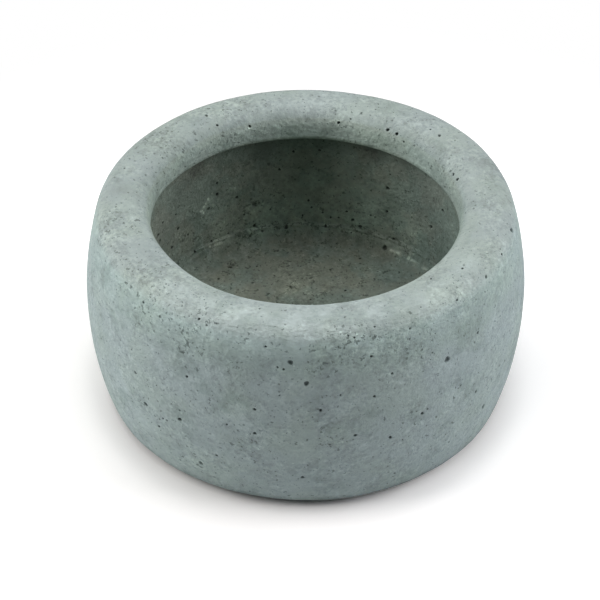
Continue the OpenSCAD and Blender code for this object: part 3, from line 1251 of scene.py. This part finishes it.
pore_black, foam_grey = (0.018, 0.019, 0.019, 1), (0.060, 0.062, 0.062, 1)
glue_film = (0.34, 0.33, 0.29, 1)
foam, tree, shader, place = new_material("foam_rubber", 0.92, 0.2)
cells = build(tree, "ShaderNodeTexVoronoi",
              {"Vector": place, "Scale": 1 / (0.3 * mm)}, "Distance")
pore = squeeze(cells, 0.15, 0.5)
film = squeeze(split(place)[2], pad_t - 0.22 * mm, pad_t - 0.16 * mm)
fill(shader.inputs["Base Color"],
     lay_over(lay_over(pore_black, foam_grey, pore), glue_film, film))
show_relief(shader, pore, 0.6, 0.08 * mm)
for pad in pads:
    pad.data.materials.append(foam)
print("two rubbers")

# %% [markdown]
# ## Floor, light and background
#
# Blender's default view softens bright colours as film does. The Standard view shows
# each colour as it is, so a grey measured in a photograph can be compared directly.

# %% How colours are shown
bpy.context.scene.view_settings.view_transform = "Standard"
print("colours are shown as", bpy.context.scene.view_settings.view_transform)

# %% [markdown]
# ### Paper for the eye and paper for the light
#
# The floor has two looks. Rays that carry light to the bowl meet plain pale paper, and
# rays that draw the picture meet the same paper lifted nearly to white, as in a print, so
# that only the shadow near the bowl shows. The lift varies a little with the direction,
# and so paints the shadow: paler beside the bowl and to the right, and a painted shadow
# close under the bowl's left side.

# %% Floor
floor_half = 6.0
plain_paper = (0.82, 0.82, 0.82, 1)
white = (1, 1, 1, 1)
bm = bmesh.new()
bmesh.ops.create_grid(bm, x_segments=2, y_segments=2, size=floor_half)
floor_mesh = bpy.data.meshes.new("studio_floor")
bm.to_mesh(floor_mesh)
bm.free()
add_object("studio_floor", floor_mesh)


def eye_rays(tree):
    """1 for rays straight from the camera, and 1 for mirrored or clear ones too."""
    straight = build(tree, "ShaderNodeLightPath", output="Is Camera Ray")
    bounced = calculate("MAXIMUM", straight, straight.beside("Is Glossy Ray"))
    return straight, calculate("MAXIMUM", bounced, straight.beside("Is Transmission Ray"))


paper, tree, shader, place = new_material("white_paper", 0.9, 0.0)
straight, to_eye = eye_rays(tree)
away = calculate_place("LENGTH", place, output="Value")
across = split(place)[0] / away      # 1 at the right, -1 at the left
beside = across * across
before = 1.0 - beside
# painted light on the shadow: a little more lift beside the bowl than before it, and to
# the right than to the left
extra = beside * before * 0.64 + (beside * 0.11 - 0.04)
lift = squeeze(away, 97 * mm, 108 * mm) * extra + 1.09
rightward = across * straight
lift = lift * (rightward * before * 0.16 + 1.0)
# painted shadow: less lift close under the bowl's left side
left_painted_shadow = squeeze(away, 95 * mm, 89 * mm, 0, 0.5)
lift = lift + left_painted_shadow * calculate("MINIMUM", rightward, 0.0)
lifted = build(tree, "ShaderNodeCombineXYZ", {"X": lift, "Y": lift, "Z": lift})
fill(shader.inputs["Base Color"], lay_over(plain_paper, lifted, to_eye))
glow = build(tree, "ShaderNodeEmission", {"Color": white, "Strength": 1.0})
fill(tree.nodes["Material Output"].inputs["Surface"], build(
    tree, "ShaderNodeMixShader", {0: to_eye * squeeze(away, 0.15, 0.32),
                                  1: Value(shader.outputs[0]), 2: glow}))
floor_mesh.materials.append(paper)
print("floor %.0f m wide" % (2 * floor_half))

# %% [markdown]
# ### A background that only the camera sees
#
# The world is almost black to the light, and white to the camera.

# %% Background
world = bpy.data.worlds.new("studio")
bpy.context.scene.world = world
world.use_nodes = True
tree = world.node_tree
dim = tree.nodes["Background"]
dim.inputs["Color"].default_value = white
dim.inputs["Strength"].default_value = 0.02
bright = build(tree, "ShaderNodeBackground", {"Color": white, "Strength": 1.0})
fill(tree.nodes["World Output"].inputs["Surface"], build(
    tree, "ShaderNodeMixShader",
    {0: eye_rays(tree)[1], 1: Value(dim.outputs[0]), 2: bright}))
print("background dim to the light and white to the camera")

# %% [markdown]
# ### Lamps
#
# A broad lamp overhead, a little behind and to the right, lights the rim and leaves the
# side that faces us in shade. Two warm panels brighten the left and the right. All are
# more than a metre wide, so the shadows have no hard edge.

# %% Lamps
lamp_width = 1.1
lit_point = Vector((0, 0, 0.05))


def soft_lamp(name, place, watts, colour=(1, 1, 1)):
    """A large square lamp that shines at the bowl."""
    data = bpy.data.lights.new(name, "AREA")
    data.shape, data.size = "SQUARE", lamp_width
    data.energy, data.color = watts, colour
    lamp = add_object(name, data)
    lamp.location = place
    lamp.rotation_euler = (lit_point - Vector(place)).to_track_quat("-Z", "Y").to_euler()


soft_lamp("overhead_softbox", (0.10, 0.10, 1.65), 13.0)
soft_lamp("left_panel", (-1.386, 0, 0.85), 23.6, colour=(1.0, 0.958, 0.935))
soft_lamp("right_panel", (1.386, 0, 0.85), 18.8, colour=(1.0, 0.962, 0.975))
print("three lamps")
